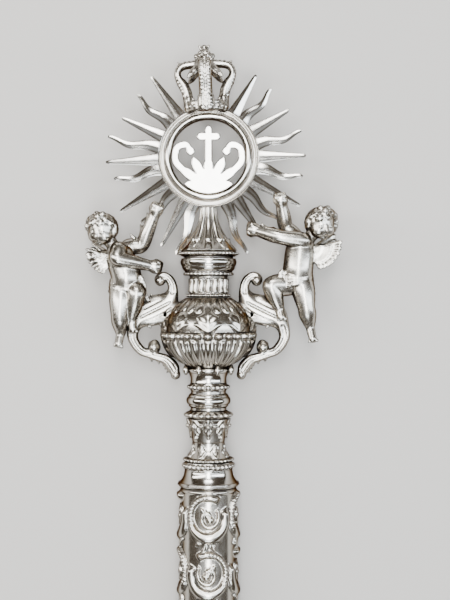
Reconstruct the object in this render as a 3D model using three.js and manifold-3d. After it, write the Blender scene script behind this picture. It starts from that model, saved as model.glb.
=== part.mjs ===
// A cast and chased silver processional staff, lying on its back with the face of its head upward.
// Millimetres. +X is the viewer's right, +Y runs up the staff to the crown, +Z is away from the floor.
// Heights in the head are measured along the staff from the joint where the head meets the shaft.

import * as THREE from "three";
import { mergeVertices } from "three/addons/utils/BufferGeometryUtils.js";
import Module from "manifold-3d";

const wasm = await Module();
wasm.setup();

// Driving dimensions

const AXIS_ABOVE_FLOOR = 29.3; // the knop and the pommel are cut flat at the back to this depth
const GAP = 0.3; // clearance left between pieces that touch
const HEAD_BASE = -12; // lower end of the bead collar, where the shaft begins
const PLAIN_TUBE_LENGTH = 420;
const CHASED_TUBE_LENGTH = 138;
const CHASED_TUBE_RADIUS = 19;

const RING_CENTRE = 218; // height of the middle of the sunburst
const RING_OUTER = 35.2;
const RING_INNER = 26.2;
const RING_HALF_DEPTH = 4.8;
const RING_SIDES = 24;
const GLORY_LEAN = THREE.MathUtils.degToRad(2.3); // rays and crown lean to the viewer's left

// The rays of each side from the top downwards: [degrees above the horizontal, reach from the middle].
const RIGHT_RAYS = [
  [57.6, 66.4],
  [43.6, 64.6],
  [28, 65.4],
  [12, 67.6],
  [-1.4, 68.2],
  [-15.4, 67.4],
  [-30.2, 72.6],
  [-45.2, 67.6],
  [-58.3, 66],
  [-71.9, 72.4],
];
const LEFT_RAYS = [
  [57, 69],
  [42, 66],
  [26.6, 66.4],
  [12.4, 71.8],
  [-0.6, 72],
  [-12.4, 68],
  [-29.3, 72.6],
  [-43.6, 66],
  [-59.8, 70.6],
  [-70.9, 72],
];
const RAY_ROOT_HALF_WIDTH = 4.8;
const RAY_TIP_HALF_WIDTH = 1.1;
const RAY_FLATNESS = 0.36;
const RAY_WAVE = 1.9;
const RAY_WAVES = 1.3; // along one wavy ray

const CROWN_FOOT = RING_OUTER - 1.2; // from the middle of the ring
const CROWN_RIBS = 4;
const CROWN_TOP = 44.6; // above the crown's foot

const BRACKET_DEPTH = 8.4;
const EMBLEM_DEPTH = 2.4;

// Mouldings of the turned pieces, from the bottom up: [lower radius, upper radius, height, swell].
// A positive swell bellies out by that much halfway, and a negative one hollows in.

const FOOT_TIP = [
  [8.5, 9.5, 4, 0],
  [9.5, 13, 7, 1.4],
];
const POMMEL = [
  [13, 15, 5, -1.2],
  [15, 15, 46, 15.6],
  [15, 13.5, 4, -1],
  [14.5, 17, 6, 1.6],
];
const JOINT_RING = [
  [17.5, 18.5, 4, 1.3],
  [18, 18, 10, 4.4],
  [18.5, 17.5, 4, 1.3],
];
const BEAD_COLLAR = [
  [20.4, 21.2, 3, 0.7],
  [20.2, 17, 9, -1.1],
  [16.6, 16.6, 5.2, 0.4],
];
const STEM = [
  [16, 16, 2.6, 0.9],
  [15.2, 11.4, 11, -1.7],
  [11.4, 14.2, 16, -0.5],
  [13.4, 13.4, 5.6, 1.9],
];
const RING_COLLAR = [
  [12.6, 12.6, 2, 0],
  [13, 13, 9.6, 2.6],
  [12.2, 12.2, 2, 0],
  [12.6, 12.6, 5.4, 1],
];
const KNOP_SOCKET = [
  [12.8, 14.4, 7, -0.9],
  [14.6, 14.6, 3.4, 0.9],
];
const KNOP = [
  [14.5, 29.8, 20.5, 3.6],
  [30.2, 30.2, 4, 1],
  [30, 16, 24, 4.8],
];
const FLUTED_NECK = [
  [14.8, 14.6, 2.4, 0.6],
  [13.8, 13.6, 12.4, -0.9],
];
const COLLAR = [
  [16.8, 16.6, 2.4, 0.6],
  [16.4, 18.9, 4.2, 0.7],
  [19.1, 19.4, 5.2, 0.7],
  [17.6, 17.6, 1.6, -0.4],
  [19, 19.6, 3.6, 1.6],
];
const BELL = [
  [19.4, 12.6, 8.6, -0.6],
  [12.2, 5.4, 21.7, -2],
];

// Solids

function solidOf(geometry) {
  const bare = geometry.index ? geometry.toNonIndexed() : geometry.clone();
  bare.deleteAttribute("normal");
  bare.deleteAttribute("uv");
  const merged = mergeVertices(bare, 1e-4);
  const corners = merged.index.array;
  const triVerts = [];
  for (let i = 0; i < corners.length; i += 3) {
    const [a, b, c] = corners.slice(i, i + 3);
    if (a !== b && b !== c && c !== a) triVerts.push(a, b, c);
  }
  const vertProperties = merged.attributes.position.array;
  const mesh = new wasm.Mesh({ numProp: 3, vertProperties, triVerts: new Uint32Array(triVerts) });
  return new wasm.Manifold(mesh);
}

function geometryOf(solid) {
  const { vertProperties, triVerts } = solid.getMesh();
  const geometry = new THREE.BufferGeometry();
  geometry.setAttribute("position", new THREE.BufferAttribute(new Float32Array(vertProperties), 3));
  geometry.setIndex(new THREE.BufferAttribute(new Uint32Array(triVerts), 1));
  return geometry;
}

function join(solids) {
  return solids.reduce((whole, solid) => whole.add(solid));
}

// The main body of a solid, without crumbs that a cut leaves loose.
function mainBody(solid) {
  return solid.decompose().reduce((best, body) => (body.volume() > best.volume() ? body : best));
}

function at(geometry, x, y, z) {
  return geometry.translate(x, y, z);
}

const noRelief = () => 0;

// A piece turned about the staff's axis. relief(angle, share of the height) pushes its surface out.
function turned(mouldings, base, { sides = 16, rowHeight = 6, grow = 0, relief = noRelief } = {}) {
  const points = [new THREE.Vector2(0, base)];
  let height = base;
  for (const [lower, upper, rise, swell] of mouldings) {
    const rows = swell === 0 ? 1 : Math.max(2, Math.round(rise / rowHeight));
    for (let i = 0; i <= rows; i++) {
      const t = i / rows;
      const radius = THREE.MathUtils.lerp(lower, upper, t) + swell * Math.sin(Math.PI * t) + grow;
      points.push(new THREE.Vector2(radius, height + rise * t));
    }
    height += rise;
  }
  points.push(new THREE.Vector2(0, height));
  const geometry = new THREE.LatheGeometry(points, sides);
  const position = geometry.attributes.position;
  for (let i = 0; i < position.count; i++) {
    const [x, y, z] = [position.getX(i), position.getY(i), position.getZ(i)];
    const radius = Math.hypot(x, z);
    if (radius < 1) continue;
    const push = 1 + relief(Math.atan2(x, z), (y - base) / (height - base)) / radius;
    position.setXYZ(i, x * push, y, z * push);
  }
  return solidOf(geometry);
}

function heightOf(mouldings) {
  return mouldings.reduce((sum, [, , rise]) => sum + rise, 0);
}

// A disc about the Z axis, centred on the sunburst.
function disc(radius, halfDepth) {
  const geometry = new THREE.CylinderGeometry(radius, radius, 2 * halfDepth, RING_SIDES);
  return solidOf(at(geometry.rotateX(Math.PI / 2), 0, RING_CENTRE, 0));
}

function ball([x, y, z], radius, [sx, sy, sz] = [1, 1, 1], sides = 7) {
  const geometry = new THREE.SphereGeometry(radius, sides, Math.ceil(sides * 0.65)).scale(sx, sy, sz);
  return solidOf(at(geometry, x, y, z));
}

function bead([x, y, z], radius) {
  return solidOf(at(new THREE.OctahedronGeometry(radius), x, y, z));
}

// A closed ribbon outline that follows a smooth line of [x, y, width] points.
function ribbon(line, steps) {
  const curve = new THREE.SplineCurve(line.map(([x, y]) => new THREE.Vector2(x, y)));
  const left = [];
  const right = [];
  for (let i = 0; i <= steps; i++) {
    const t = i / steps;
    const place = t * (line.length - 1);
    const index = Math.min(Math.floor(place), line.length - 2);
    const half = THREE.MathUtils.lerp(line[index][2], line[index + 1][2], place - index) / 2;
    const middle = curve.getPoint(t);
    const along = curve.getTangent(t);
    left.push(new THREE.Vector2(middle.x - along.y * half, middle.y + along.x * half));
    right.unshift(new THREE.Vector2(middle.x + along.y * half, middle.y - along.x * half));
  }
  return new THREE.Shape([...left, ...right]);
}

// A plate cut to an outline, centred on Z.
function plate(shape, depth) {
  const geometry = new THREE.ExtrudeGeometry(shape, { depth, bevelEnabled: false, curveSegments: 4 });
  return solidOf(at(geometry, 0, 0, -depth / 2));
}

// A strap with a six-sided section, which follows a smooth flat line of [x, y, width] points.
function strap(line, steps, depth, grow = 0) {
  return solidOf(skinned(strapRings(line, steps, depth, grow)));
}

function strapRings(line, steps, depth, grow = 0) {
  const section = [
    [1, 0],
    [0.55, 1],
    [-0.55, 1],
    [-1, 0],
    [-0.55, -1],
    [0.55, -1],
  ];
  const curve = new THREE.SplineCurve(line.map(([x, y]) => new THREE.Vector2(x, y)));
  const rings = [];
  for (let i = 0; i <= steps; i++) {
    const place = (i / steps) * (line.length - 1);
    const index = Math.min(Math.floor(place), line.length - 2);
    const half = THREE.MathUtils.lerp(line[index][2], line[index + 1][2], place - index) / 2 + grow;
    const middle = curve.getPoint(i / steps);
    const along = curve.getTangent(i / steps);
    const corner = ([u, v]) => [
      middle.x - along.y * half * u,
      middle.y + along.x * half * u,
      (depth / 2 + grow) * v,
    ];
    rings.push(section.map(corner));
  }
  return rings;
}

// A closed skin over a row of rings of points, each end closed by a fan.
function skinned(rings) {
  const sides = rings[0].length;
  const corners = [];
  for (let i = 0; i + 1 < rings.length; i++) {
    for (let j = 0; j < sides; j++) {
      const [a, b] = [i * sides + j, i * sides + ((j + 1) % sides)];
      const [c, d] = [b + sides, a + sides];
      corners.push(a, b, c, a, c, d);
    }
  }
  const last = (rings.length - 1) * sides;
  for (let j = 1; j + 1 < sides; j++) {
    corners.push(0, j + 1, j, last, last + j, last + j + 1);
  }
  const geometry = new THREE.BufferGeometry();
  geometry.setAttribute("position", new THREE.BufferAttribute(new Float32Array(rings.flat(2)), 3));
  geometry.setIndex(corners);
  return geometry;
}

// A round body along a row of points, with a radius at each and blunt ends.
function tube(points, radii, sides) {
  const spine = points.map((point) => new THREE.Vector3(...point));
  const last = spine.length - 1;
  const rings = [];
  const addRing = (middle, along, radius) => {
    const u = new THREE.Vector3(0, 0, 1).cross(along).normalize();
    const v = along.clone().cross(u);
    const corner = (_, j) => {
      const turn = (j * 2 * Math.PI) / sides;
      const edge = middle.clone().addScaledVector(u, radius * Math.cos(turn));
      return edge.addScaledVector(v, radius * Math.sin(turn)).toArray();
    };
    rings.push([...Array(sides)].map(corner));
  };
  const end = (index, along, direction) => {
    const middle = spine[index].clone().addScaledVector(along, 0.7 * direction * radii[index]);
    addRing(middle, along, 0.5 * radii[index]);
  };
  for (let i = 0; i <= last; i++) {
    const along = spine[Math.min(i + 1, last)].clone().sub(spine[Math.max(i - 1, 0)]).normalize();
    if (i === 0) end(i, along, -1);
    addRing(spine[i], along, radii[i]);
    if (i === last) end(i, along, 1);
  }
  return solidOf(skinned(rings));
}

function mirrored(line, side) {
  return line.map(([x, ...rest]) => [x * side, ...rest]);
}

const floorBlock = solidOf(at(new THREE.BoxGeometry(400, 3000, 20), 0, 0, -AXIS_ABOVE_FLOOR - 10));

// Sunburst

function raysOf(side) {
  return side > 0 ? RIGHT_RAYS : LEFT_RAYS;
}

function rayAngle(side, index) {
  const slope = THREE.MathUtils.degToRad(raysOf(side)[index][0]);
  return side > 0 ? slope : Math.PI - slope;
}

// A point on a ray as it leans with the glory, given as on the viewer's right.
function rayPoint(side, index, distance, z) {
  const angle = rayAngle(side, index) + GLORY_LEAN;
  return [side * distance * Math.cos(angle), RING_CENTRE + distance * Math.sin(angle), z];
}

// A ridged ray, straight or wavy, from inside the ring to its tip.
function ray(side, index, grow) {
  const wavy = index % 2 === 1;
  const root = RING_OUTER - 2;
  const length = raysOf(side)[index][1] - root;
  const geometry = new THREE.CylinderGeometry(
    RAY_TIP_HALF_WIDTH + grow,
    RAY_ROOT_HALF_WIDTH + grow,
    length,
    4,
    wavy ? 4 : 1,
  );
  const position = geometry.attributes.position;
  for (let i = 0; i < position.count; i++) {
    const t = position.getY(i) / length + 0.5;
    const sway = wavy ? RAY_WAVE * side * Math.sin(RAY_WAVES * 2 * Math.PI * t) * (0.3 + 0.7 * t) : 0;
    const distance = position.getY(i) + root + length / 2;
    position.setXYZ(i, position.getX(i) + sway, distance, position.getZ(i) * RAY_FLATNESS);
  }
  return solidOf(at(geometry.rotateZ(rayAngle(side, index) - Math.PI / 2), 0, RING_CENTRE, 0));
}

function rays(grow = 0) {
  return join([-1, 1].flatMap((side) => raysOf(side).map((_, index) => ray(side, index, grow))));
}

function ringOfGlory() {
  const crest = RING_INNER + 2.4;
  const lip = RING_INNER + 4.8;
  const half = [
    [RING_INNER, 0],
    [RING_INNER + 0.4, 3.4],
    [crest, RING_HALF_DEPTH],
    [lip, 3],
    [RING_OUTER, 2.4],
  ];
  const back = half.slice(1).map(([radius, z]) => [radius, -z]);
  const loop = [half[0], ...back, ...half.slice(1).reverse(), half[0]];
  const profile = loop.map(([radius, z]) => new THREE.Vector2(radius, z));
  const geometry = new THREE.LatheGeometry(profile, RING_SIDES).rotateX(Math.PI / 2);
  return solidOf(at(geometry, 0, RING_CENTRE, 0));
}

function leaning(solid) {
  const geometry = geometryOf(solid).translate(0, -RING_CENTRE, 0).rotateZ(GLORY_LEAN);
  return solidOf(at(geometry, 0, RING_CENTRE, 0));
}

function sunburst() {
  const neck = turned(BELL, BASE.bell, { grow: 1 }).add(turned(COLLAR, BASE.collar, { grow: 1 }));
  return mainBody(leaning(ringOfGlory().add(rays())).subtract(neck));
}

// Pierced emblem: a plain cross over a palmette whose outer lobes end in curls, none of them a letter

const LOBE_STEP_DEG = 27;
const LOBE_REACHES = [22, 24, 24, 17]; // of the palmette's lobes, from the middle one outwards

function emblem() {
  const half = 2.5;
  const [foot, armFrom, armTo, armReach, top] = [-8, 11.8, 17, 8.3, 21.8];
  const cross = new THREE.Shape(
    [
      [-half, foot],
      [-half, armFrom],
      [-armReach, armFrom],
      [-armReach, armTo],
      [-half, armTo],
      [-half, top],
      [half, top],
      [half, armTo],
      [armReach, armTo],
      [armReach, armFrom],
      [half, armFrom],
      [half, foot],
    ].map(([x, y]) => new THREE.Vector2(x, y)),
  );
  const root = -22;
  const base = [
    [0, -27, 20],
    [0, root, 10],
  ];
  const curl = [
    [16, -11, 5],
    [23, -3, 5],
    [22.4, 6, 4.8],
    [16, 8.6, 4.4],
    [12.4, 4, 4],
  ];
  const lobe = (index) => {
    const slope = (index * LOBE_STEP_DEG * Math.PI) / 180;
    const reach = LOBE_REACHES[Math.abs(index)];
    const along = (share) => [share * reach * Math.sin(slope), root + share * reach * Math.cos(slope)];
    return [
      [...along(0), 4],
      [...along(0.7), 7],
      [...along(1), 3],
    ];
  };
  const flat = (line, steps) => plate(ribbon(line, steps), EMBLEM_DEPTH);
  const lobes = [-3, -2, -1, 0, 1, 2, 3].map((index) => flat(lobe(index), 3));
  const curls = [-1, 1].map((side) => flat(mirrored(curl, side), 7));
  const whole = join([plate(cross, EMBLEM_DEPTH), flat(base, 1), ...lobes, ...curls]);
  return whole.translate(0, RING_CENTRE, 0).intersect(disc(RING_INNER - GAP, EMBLEM_DEPTH));
}

// Crown of arched ribs with drooping leaves between them, and a leafy finial

function crownRib(angle) {
  const line = [
    [11.2, -3, 4.4],
    [12, 1, 6.4],
    [12.2, 5.5, 7.4],
    [13.4, 12, 7.8],
    [15.4, 16.6, 6.8],
    [18, 20.6, 4.8],
    [19.2, 24.4, 4],
    [17.8, 28, 4],
    [14.4, 30, 4.4],
    [9, 30.6, 4.6],
    [2, 30.8, 5],
  ];
  return solidOf(skinned(strapRings(line, 9, 8.8)).rotateY(angle));
}

function crownLeaf(angle) {
  const [radius, height, slope] = [10.5, 25, -0.65];
  const geometry = new THREE.OctahedronGeometry(1).scale(7.6, 2, 3.2).rotateZ(slope);
  return solidOf(at(geometry, radius, height, 0).rotateY(angle));
}

// A bud over the ribs, a stalk and a flared top, with two short arms.
function crownFinial() {
  const profile = [
    [0, 26.5],
    [6.6, 28.4],
    [8.2, 31.4],
    [6, 35.6],
    [3.2, 39],
    [2.6, 41],
    [3.8, CROWN_TOP - 0.6],
    [0, CROWN_TOP],
  ].map(([radius, height]) => new THREE.Vector2(radius, height));
  const arms = new THREE.Shape(
    [
      [-2, 32.6],
      [2, 32.6],
      [7.2, 35],
      [6.4, 38.4],
      [-6.4, 38.4],
      [-7.2, 35],
    ].map(([x, y]) => new THREE.Vector2(x, y)),
  );
  return solidOf(new THREE.LatheGeometry(profile, 8)).add(plate(arms, 3.6));
}

function crown() {
  const band = new THREE.LatheGeometry(
    [
      [11, -3],
      [14.2, -3],
      [14.7, 0],
      [14.7, 3.4],
      [11, 3.4],
      [11, -3],
    ].map(([radius, height]) => new THREE.Vector2(radius, height)),
    12,
  );
  const turns = [...Array(CROWN_RIBS).keys()].map((i) => (i * 2 * Math.PI) / CROWN_RIBS - Math.PI / 2);
  const halfTurn = Math.PI / CROWN_RIBS;
  const whole = join([
    solidOf(band),
    ...turns.map(crownRib),
    ...turns.map((angle) => crownLeaf(angle + halfTurn)),
    crownFinial(),
  ]);
  const standing = whole.translate(0, RING_CENTRE + CROWN_FOOT, 0);
  return leaning(standing.subtract(disc(RING_OUTER + GAP, RING_HALF_DEPTH)));
}

// Turned pieces of the head

const BASE = stackedBases();

function stackedBases() {
  let height = HEAD_BASE;
  const bases = {};
  const order = { BEAD_COLLAR, STEM, RING_COLLAR, KNOP_SOCKET, KNOP, FLUTED_NECK, COLLAR, BELL };
  const names = ["beadCollar", "stem", "ringCollar", "socket", "knop", "neck", "collar", "bell"];
  Object.values(order).forEach((mouldings, i) => {
    bases[names[i]] = height;
    height += heightOf(mouldings) + GAP;
  });
  return bases;
}

// A row of beads round the uppermost moulding, which starts at the given share of the height.
function beads(count, start) {
  return (angle, t) => (t > start && t < 1 ? 1.1 * Math.cos(count * angle) : 0);
}

function beadCollar() {
  return turned(BEAD_COLLAR, BASE.beadCollar, { sides: 24, relief: beads(12, 0.71) });
}

// Leaf tips hang down over the stem from its upper ring.
function stem() {
  const petals = (angle, t) => (t > 0.45 && t < 0.84 ? 2.2 * (t - 0.45) * Math.cos(8 * angle) : 0);
  return turned(STEM, BASE.stem, { relief: petals });
}

function ringCollar() {
  return turned(RING_COLLAR, BASE.ringCollar, { relief: beads(8, 0.72) });
}

// Gadroons run up the lower part of the knop to a belt of bosses, and petals lap over its shoulder.
function knopRelief(angle, t) {
  const belt = 0.43;
  const shoulder = 0.8;
  if (t < belt) return 1.1 * Math.sin((Math.PI * t) / belt) * Math.cos(16 * angle);
  return t > shoulder ? 0.8 * Math.cos(8 * angle) : 0;
}

function knop(grow = 0) {
  const body = turned(KNOP, BASE.knop, { sides: 32, grow, relief: knopRelief });
  return body.subtract(floorBlock);
}

function flutedNeck() {
  const flutes = (angle, t) => (t > 0.16 ? 0.8 * Math.cos(12 * angle) * Math.sin(Math.PI * t) : 0);
  return turned(FLUTED_NECK, BASE.neck, { sides: 24, relief: flutes });
}

function bell() {
  const ribs = (angle, t) => (t > 0.25 ? 1.4 * (1.2 - t) * Math.cos(8 * angle) : 0);
  const room = disc(RING_OUTER + GAP, RING_HALF_DEPTH + GAP);
  return turned(BELL, BASE.bell, { relief: ribs }).subtract(room);
}

// Scroll brackets

const SCROLL_LINE = [
  [34, 129.4, 3.4],
  [35.6, 132.8, 4.4],
  [31.6, 135, 5],
  [26.6, 131.4, 5.8],
  [25, 124, 7],
  [29, 115.8, 14],
  [37, 111, 20.4],
  [45.6, 108, 17],
  [51.4, 100.6, 9.4],
  [53, 91.6, 7],
  [47.8, 83.2, 6.2],
  [41.4, 80.8, 5.4],
  [36.4, 83.6, 4.6],
  [37.2, 88, 3.8],
  [40.6, 87, 3],
];
const BRACKET_ROOT = [
  [38, 110.4, 17],
  [30, 109.6, 18],
  [20, 108, 20],
];
const BRACKET_TAIL = [
  [47, 82.4, 5],
  [38.4, 79, 5.4],
  [30, 76.4, 6.4],
  [25, 71.2, 8],
  [23, 66, 5],
];

function bracket(side, grow = 0) {
  return join([
    strap(mirrored(SCROLL_LINE, side), 23, BRACKET_DEPTH, grow),
    strap(mirrored(BRACKET_ROOT, side), 3, BRACKET_DEPTH, grow),
    strap(mirrored(BRACKET_TAIL, side), 6, BRACKET_DEPTH - 2, grow),
  ]);
}

function fittedBracket(side) {
  return bracket(side).subtract(knop(2 * GAP));
}

// Cherubs. The points of both figures are given as on the viewer's right, and mirrored for the left one.

const HEAD_RADIUS = 10.6;
const FACING = new THREE.Vector3(0.34, -0.36, 0.87);

const RIGHT_FIGURE = {
  side: 1,
  pelvis: [61.5, 131, 2],
  belly: [62.6, 141, 3.8],
  chest: [64, 152.5, 2.8],
  head: [78, 171.4, 6],
  wingRoot: [71, 152.6, 0],
  wingReach: [22.5, 15],
  legs: [
    { hip: [65, 130.5, 4.6], knee: [68, 112.5, 7.4], ankle: [70.6, 100.5, 3.4], toe: [72.4, 91, 6.4] },
    { hip: [57.5, 129, 1], knee: [43.6, 128, 7], ankle: [49.2, 112.5, 5], toe: [50.6, 106, 7] },
  ],
  arms: [
    { shoulder: [66, 159, 8.8], elbow: [49.5, 161.4, 11], hand: [31, 166.8, 6] },
    { shoulder: [62, 161, -4], elbow: [54, 169.5, -3], hand: [50.4, 187.4, 3.6] },
  ],
};
const LEFT_FIGURE = {
  side: -1,
  pelvis: [57.5, 127, 2],
  belly: [57, 134, 4.5],
  chest: [61.5, 147.5, 3.5],
  head: [73.6, 167.4, 6],
  wingRoot: [67, 148.6, 0],
  wingReach: [18.5, 14],
  legs: [
    { hip: [60.5, 125, 4.6], knee: [61.5, 107.5, 8], ankle: [61, 95.5, 3.4], toe: [62.4, 87.5, 6.4] },
    { hip: [53.5, 126, 2], knee: [49.6, 122.5, 10.6], ankle: [53.4, 105, 6.4], toe: [52.4, 97.5, 7.4] },
  ],
  arms: [
    { shoulder: [62, 153, 9.4], elbow: [62.5, 146.4, 14.4], hand: [37, 141, 7] },
    { shoulder: [57, 155, -4], elbow: [46.6, 156.4, -2], hand: rayPoint(-1, 7, 52, 4) },
  ],
};

function facingTurn(side) {
  const ahead = new THREE.Vector3(FACING.x * side, FACING.y, FACING.z).normalize();
  return new THREE.Quaternion().setFromUnitVectors(new THREE.Vector3(0, 0, 1), ahead);
}

function cherubHead({ side, head }) {
  // A point given from the middle of the head, with its Z axis along the face.
  const onHead = (x, y, z) => {
    const point = new THREE.Vector3(x, y, z).multiplyScalar(HEAD_RADIUS);
    point.applyQuaternion(facingTurn(side));
    return [head[0] * side + point.x, head[1] + point.y, head[2] + point.z];
  };
  const curls = [];
  const rows = [
    { rise: 0.46, reach: 0.74, count: 5, spread: 2.2 },
    { rise: -0.2, reach: 0.86, count: 3, spread: 1.5 },
  ];
  for (const { rise, reach, count, spread } of rows) {
    for (let i = 0; i < count; i++) {
      const turn = Math.PI + THREE.MathUtils.lerp(-spread, spread, i / (count - 1));
      curls.push(bead(onHead(reach * Math.sin(turn), rise, reach * Math.cos(turn)), 5.4));
    }
  }
  return join([
    ball(onHead(0, 0, 0), HEAD_RADIUS, [1, 1.04, 1], 8),
    bead(onHead(0, 0.8, -0.1), 6.4),
    bead(onHead(0, -0.16, 0.96), 2),
    bead(onHead(0, -0.7, 0.6), 3.6),
    ball(onHead(1.1 * side, 0.2, -0.3), 5, [1, 1, 1], 5),
    ...curls,
  ]);
}

// A scalloped fan of feathers that leans away from the middle of the figure.
function wing({ side, wingRoot: [x, y], wingReach }, lean) {
  const feathers = 6;
  const [first, step] = [lean > 0 ? 14 : 32, 15].map(THREE.MathUtils.degToRad);
  const outline = [[-2, 3]];
  for (let i = 0; i < feathers; i++) {
    const reach = THREE.MathUtils.lerp(...wingReach, i / (feathers - 1));
    const tip = first - step * i;
    const notch = tip - step / 2;
    outline.push([reach * Math.cos(tip), reach * Math.sin(tip)]);
    outline.push([0.82 * reach * Math.cos(notch), 0.82 * reach * Math.sin(notch)]);
  }
  outline.push([-2, -4]);
  const shape = new THREE.Shape(mirrored(outline, side).map(([u, v]) => new THREE.Vector2(u, v)));
  const outwardDeg = -17 * lean * side;
  return plate(shape, 2.6).rotate([0, outwardDeg, 0]).translate(x * side, y, lean * 4);
}

function cherubArm(side, { shoulder, elbow, hand }) {
  const points = mirrored([shoulder, elbow, hand], side);
  return tube(points, [5.2, 4.6, 3.8], 6).add(bead(points[2], 5.8));
}

function cherubLeg(side, { hip, knee, ankle, toe }) {
  return tube(mirrored([hip, knee, ankle, toe], side), [7.6, 5.8, 3.4, 2.8], 6);
}

function cherub(figure) {
  const { side, pelvis, belly, chest, head } = figure;
  const whole = join([
    tube(mirrored([pelvis, belly, chest, head], side), [9.8, 9.8, 9.8, 4.8], 8),
    cherubHead(figure),
    wing(figure, 1),
    wing(figure, -1),
    ...figure.arms.map((arm) => cherubArm(side, arm)),
    ...figure.legs.map((leg) => cherubLeg(side, leg)),
  ]);
  return mainBody(whole.subtract(bracket(side, GAP)).subtract(leaning(rays(GAP))));
}

// Shaft. The chased tube carries columns of scrolling foliage that coil first one way, then the other.

const FOLIAGE_COLUMNS = 4;
const FOLIAGE_COILS = 3;
const COIL_DROP = 19; // from the tube's top to the middle of the first coil
const COIL_PITCH = 39;
const COIL_RADIUS = 12.4;
const COIL_INNER_SHARE = 0.36;
const COIL_TURNS = 1;
const RELIEF_HEIGHT = 1.7;

// Bends a plate that lies in the XY plane round the tube, with its middle at the given angle.
function wrapped(shape, angle) {
  const sunk = 0.8;
  const settings = { depth: sunk + RELIEF_HEIGHT, bevelEnabled: false };
  const geometry = new THREE.ExtrudeGeometry(shape, settings);
  const position = geometry.attributes.position;
  for (let i = 0; i < position.count; i++) {
    const turn = angle + position.getX(i) / CHASED_TUBE_RADIUS;
    const radius = CHASED_TUBE_RADIUS - sunk + position.getZ(i);
    position.setXYZ(i, radius * Math.sin(turn), position.getY(i), radius * Math.cos(turn));
  }
  return solidOf(geometry);
}

function coilLine(middle, hand) {
  const line = [];
  const points = 6;
  for (let i = 0; i < points; i++) {
    const t = i / (points - 1);
    const turn = Math.PI / 2 + hand * 2 * Math.PI * COIL_TURNS * t;
    const reach = COIL_RADIUS * THREE.MathUtils.lerp(1, COIL_INNER_SHARE, t);
    const width = THREE.MathUtils.lerp(4.2, 2.4, t);
    line.push([reach * Math.cos(turn), middle + reach * Math.sin(turn), width]);
  }
  return line;
}

function chasedTube(base) {
  const straight = [[CHASED_TUBE_RADIUS, CHASED_TUBE_RADIUS, CHASED_TUBE_LENGTH, 0]];
  const solids = [turned(straight, base, { sides: 16 })];
  for (let column = 0; column < FOLIAGE_COLUMNS; column++) {
    const angle = (column * 2 * Math.PI) / FOLIAGE_COLUMNS;
    for (let coil = 0; coil < FOLIAGE_COILS; coil++) {
      const middle = base + CHASED_TUBE_LENGTH - COIL_DROP - coil * COIL_PITCH;
      const hand = coil % 2 === 0 ? 1 : -1;
      const surface = CHASED_TUBE_RADIUS + 0.2;
      solids.push(wrapped(ribbon(coilLine(middle, hand), 5), angle));
      solids.push(bead([surface * Math.sin(angle), middle, surface * Math.cos(angle)], 3));
    }
  }
  return join(solids);
}

// Scene graph

function silver(colour, roughness) {
  return new THREE.MeshStandardMaterial({ color: colour, roughness, metalness: 1 });
}

const polished = () => silver(0xd8d6d0, 0.16);
const cast = () => silver(0xcbc7bd, 0.26);
const chased = () => silver(0xc2bdb2, 0.24);

function piece(name, solid, material) {
  const mesh = new THREE.Mesh(geometryOf(solid), material);
  mesh.name = name;
  return mesh;
}

// The shaft's pieces are stacked downwards from the head.
function shaft() {
  const group = new THREE.Group();
  let top = HEAD_BASE - GAP;
  const add = (name, height, make, material) => {
    group.add(piece(name, make(top - height), material));
    top -= height + GAP;
  };
  const plain = (upper, lower) => [[lower, upper, PLAIN_TUBE_LENGTH, 0]];
  const turnedPiece = (mouldings, options) => (base) => turned(mouldings, base, options);
  add("chased_tube", CHASED_TUBE_LENGTH, chasedTube, chased());
  add("upper_joint_ring", heightOf(JOINT_RING), turnedPiece(JOINT_RING), polished());
  add("middle_tube", PLAIN_TUBE_LENGTH, turnedPiece(plain(17, 16.4)), polished());
  add("lower_joint_ring", heightOf(JOINT_RING), turnedPiece(JOINT_RING), polished());
  add("lower_tube", PLAIN_TUBE_LENGTH, turnedPiece(plain(16.4, 15.8)), polished());
  const pommel = (base) => turned(POMMEL, base, { rowHeight: 8 }).subtract(floorBlock);
  add("pommel", heightOf(POMMEL), pommel, polished());
  add("foot_tip", heightOf(FOOT_TIP), turnedPiece(FOOT_TIP), polished());
  return group;
}

function head() {
  const group = new THREE.Group();
  group.add(piece("bead_collar", beadCollar(), polished()));
  group.add(piece("baluster_stem", stem(), chased()));
  group.add(piece("ring_collar", ringCollar(), polished()));
  group.add(piece("knop_socket", turned(KNOP_SOCKET, BASE.socket), polished()));
  group.add(piece("knop", knop(), chased()));
  group.add(piece("fluted_neck", flutedNeck(), chased()));
  group.add(piece("collar", turned(COLLAR, BASE.collar), polished()));
  group.add(piece("bell", bell(), chased()));
  group.add(piece("sunburst", sunburst(), polished()));
  group.add(piece("pierced_emblem", emblem(), polished()));
  group.add(piece("crown", crown(), cast()));
  group.add(piece("bracket_left", fittedBracket(-1), cast()));
  group.add(piece("bracket_right", fittedBracket(1), cast()));
  group.add(piece("cherub_left", cherub(LEFT_FIGURE), cast()));
  group.add(piece("cherub_right", cherub(RIGHT_FIGURE), cast()));
  return group;
}

// The origin is on the floor under the middle of the staff's length.
const staff = new THREE.Group();
staff.add(head(), shaft());
const middle = new THREE.Box3().setFromObject(staff).getCenter(new THREE.Vector3());
staff.position.set(-middle.x, -middle.y, AXIS_ABOVE_FLOOR);
const processionalStaff = new THREE.Group();
processionalStaff.add(staff);

export default processionalStaff;
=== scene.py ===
# A cast and chased silver processional staff that lies on its back on a pale floor, seen from above.
# Lengths are in millimetres: x to the viewer's right, y up the staff from the joint of head and shaft,
# z away from the floor, with the staff's axis at x = z = 0.

import math

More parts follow.
